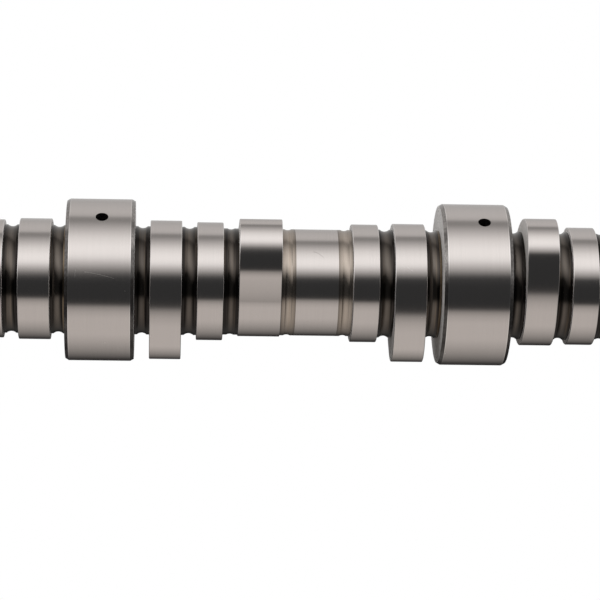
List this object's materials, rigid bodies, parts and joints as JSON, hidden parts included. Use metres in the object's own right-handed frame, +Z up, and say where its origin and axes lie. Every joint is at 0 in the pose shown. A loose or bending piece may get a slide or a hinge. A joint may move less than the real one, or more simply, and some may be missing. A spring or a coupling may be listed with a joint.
{
  "type": "camshaft",
  "caption": "One-piece ground steel camshaft with plain bearing journals, narrow and wide cam lobes, round collars, scalloped necks, and a keyed nose with a bolt hole.",
  "frame": {"origin": "on the shaft's axis, in the middle of the front journal", "axes": "+X along the axis from the nose to the rear end, to the right in the picture; +Y away from the picture's camera; +Z up in the picture. The oil holes' upper mouths and the keyway lie 50 degrees above -Y, towards +Z"},
  "size_m": [0.35, 0.0426, 0.0426],
  "materials": {
    "ground_steel": "fine ground satin on journals and lobes, darker as-turned finish in the necks"
  },
  "bodies": {
    "root": {"camshaft": "ground_steel"}
  },
  "joints": []
}
